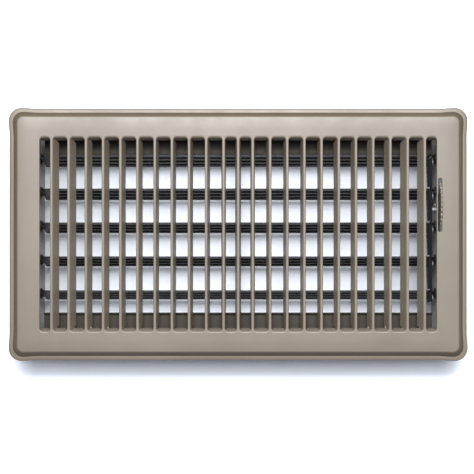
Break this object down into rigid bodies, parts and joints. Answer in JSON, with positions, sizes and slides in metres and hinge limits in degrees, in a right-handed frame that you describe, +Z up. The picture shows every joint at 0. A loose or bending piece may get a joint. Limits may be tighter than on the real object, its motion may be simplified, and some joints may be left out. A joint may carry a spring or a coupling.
{
  "type": "louvred floor register",
  "caption": "Rectangular pressed-steel floor grille over a shallow damper box, with parallel louvre blades linked to a serrated thumb lever beside the slots.",
  "frame": {"origin": "centre of the bounding box's base, which is level with the bottom edges of the two end plates", "axes": "+X along the long side towards the lever, +Y across it towards the side that the blades' upper edges lean to, +Z up out of the face"},
  "size_m": [0.3414, 0.1884, 0.045],
  "materials": {
    "taupe_paint": "satin",
    "black_paint": "satin",
    "zinc_steel": "zinc plated",
    "nylon": "matt"
  },
  "bodies": {
    "frame": {"face_grille": "taupe_paint", "side_wall_rear": "taupe_paint", "side_wall_front": "taupe_paint", "end_plate_left": "taupe_paint", "end_plate_right": "taupe_paint", "pivot_bush_left_1": "nylon", "pivot_bush_left_2": "nylon", "pivot_bush_left_3": "nylon", "pivot_bush_left_4": "nylon", "pivot_bush_left_5": "nylon", "pivot_bush_right_1": "nylon", "pivot_bush_right_2": "nylon", "pivot_bush_right_3": "nylon", "pivot_bush_right_4": "nylon", "pivot_bush_right_5": "nylon", "lever_rivet": "zinc_steel", "lever_washer": "zinc_steel"},
    "blade_1": {"blade_1": "black_paint", "link_clip_1": "zinc_steel"},
    "blade_2": {"blade_2": "black_paint", "link_clip_2": "zinc_steel"},
    "blade_3": {"blade_3": "black_paint", "link_clip_3": "zinc_steel"},
    "blade_4": {"blade_4": "black_paint", "link_clip_4": "zinc_steel"},
    "blade_5": {"blade_5": "black_paint", "link_clip_5": "zinc_steel"},
    "link": {"link_bar": "black_paint"},
    "lever": {"thumb_lever": "taupe_paint", "drive_pin": "zinc_steel"}
  },
  "joints": [
    {"name": "blade_3_pivot", "type": "hinge", "parent": "frame", "child": "blade_3", "pos_m": [0, 0.00635, 0.023], "axis": [-1, 0, 0], "range_deg": [-15.5, 69.5]},
    {"name": "blade_1_pivot", "type": "hinge", "parent": "frame", "child": "blade_1", "pos_m": [0, 0.05715, 0.023], "axis": [-1, 0, 0], "range_deg": [-15.5, 69.5]},
    {"name": "blade_2_pivot", "type": "hinge", "parent": "frame", "child": "blade_2", "pos_m": [0, 0.03175, 0.023], "axis": [-1, 0, 0], "range_deg": [-15.5, 69.5]},
    {"name": "blade_4_pivot", "type": "hinge", "parent": "frame", "child": "blade_4", "pos_m": [0, -0.01905, 0.023], "axis": [-1, 0, 0], "range_deg": [-15.5, 69.5]},
    {"name": "blade_5_pivot", "type": "hinge", "parent": "frame", "child": "blade_5", "pos_m": [0, -0.04445, 0.023], "axis": [-1, 0, 0], "range_deg": [-15.5, 69.5]},
    {"name": "lever_pivot", "type": "hinge", "parent": "frame", "child": "lever", "pos_m": [0.1503, 0.0217, 0.023], "axis": [-1, 0, 0], "range_deg": [-15.5, 69.5]},
    {"name": "link_pivot", "type": "hinge", "parent": "blade_3", "child": "link", "pos_m": [0.1443, 0.00317, 0.02924], "axis": [-1, 0, 0], "range_deg": [-69.5, 15.5]}
  ],
  "couplings": [
    {"joint": "blade_1_pivot", "follows": "blade_3_pivot", "ratio": 1},
    {"joint": "blade_2_pivot", "follows": "blade_3_pivot", "ratio": 1},
    {"joint": "blade_4_pivot", "follows": "blade_3_pivot", "ratio": 1},
    {"joint": "blade_5_pivot", "follows": "blade_3_pivot", "ratio": 1},
    {"joint": "lever_pivot", "follows": "blade_3_pivot", "ratio": 1},
    {"joint": "link_pivot", "follows": "blade_3_pivot", "ratio": -1}
  ]
}
